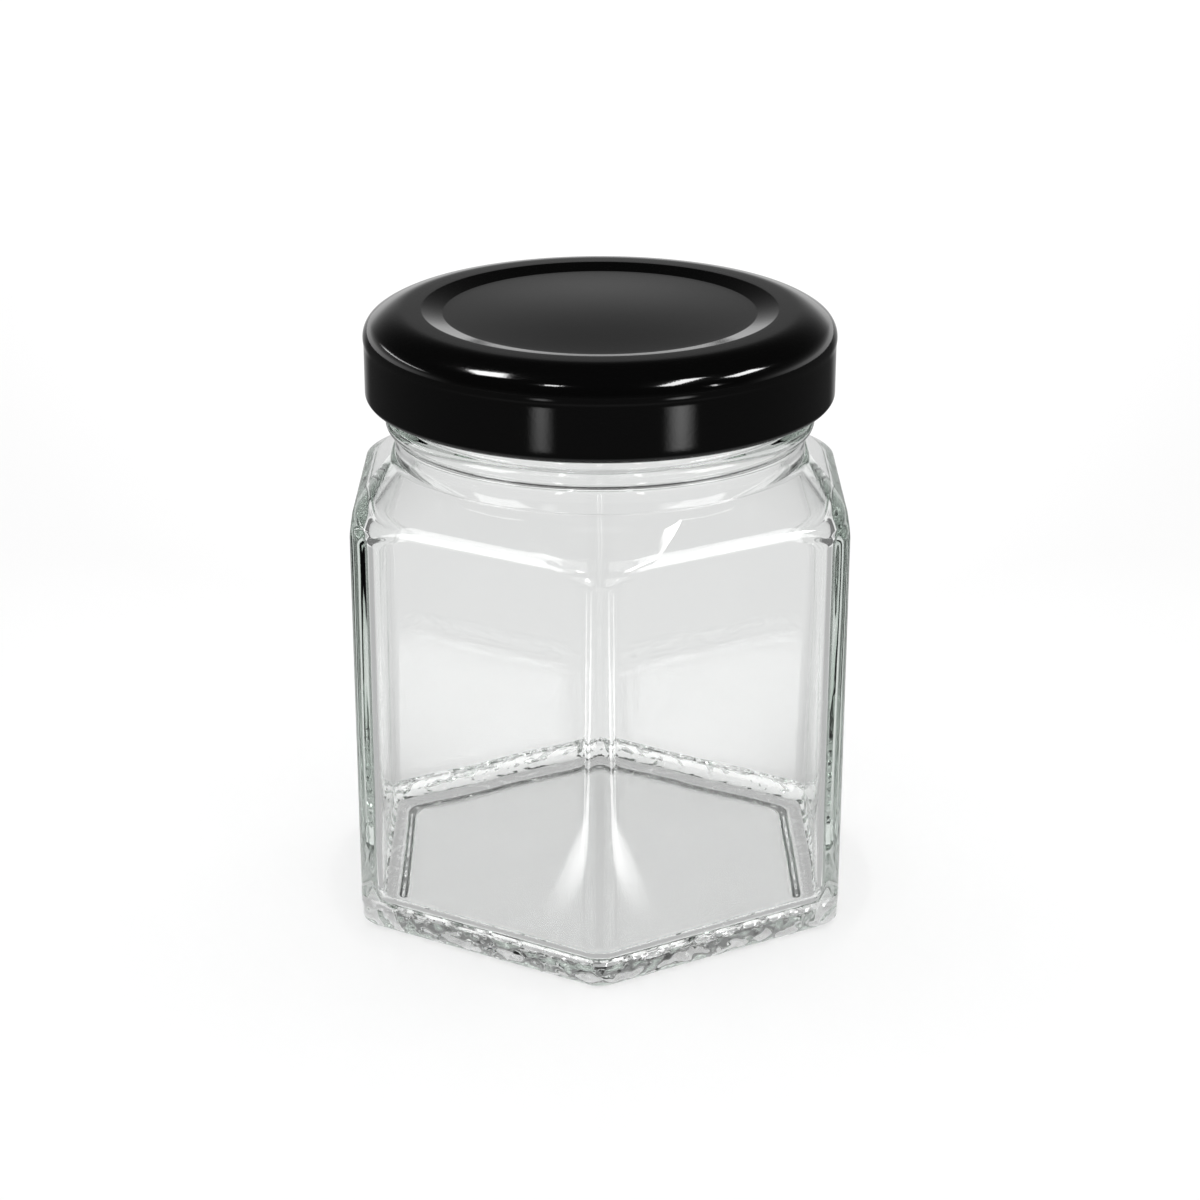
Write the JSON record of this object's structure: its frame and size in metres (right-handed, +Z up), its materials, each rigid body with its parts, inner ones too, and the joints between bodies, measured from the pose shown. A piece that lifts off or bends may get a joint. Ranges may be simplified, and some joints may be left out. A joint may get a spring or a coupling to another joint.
{
  "type": "hexagonal glass jar",
  "caption": "Empty clear glass jar with a hexagonal body, sloping shoulder and round neck, closed by a glossy black pressed metal twist-off lid.",
  "frame": {"origin": "middle of the base, on the plane the jar stands on", "axes": "+Z up along the jar's axis; one vertical corner of the hexagon points along -Y, and two flats face +X and -X"},
  "size_m": [0.053, 0.0604, 0.0668],
  "materials": {
    "clear_glass": "fire-polished clear soda-lime container glass, faint green in the thick places",
    "black_lacquer": "gloss black baked lacquer on pressed tinplate",
    "sealing_compound": "smooth matt moulded compound"
  },
  "bodies": {
    "root": {"jar": "clear_glass", "lid": "black_lacquer", "seal_ring": "sealing_compound"}
  },
  "joints": []
}
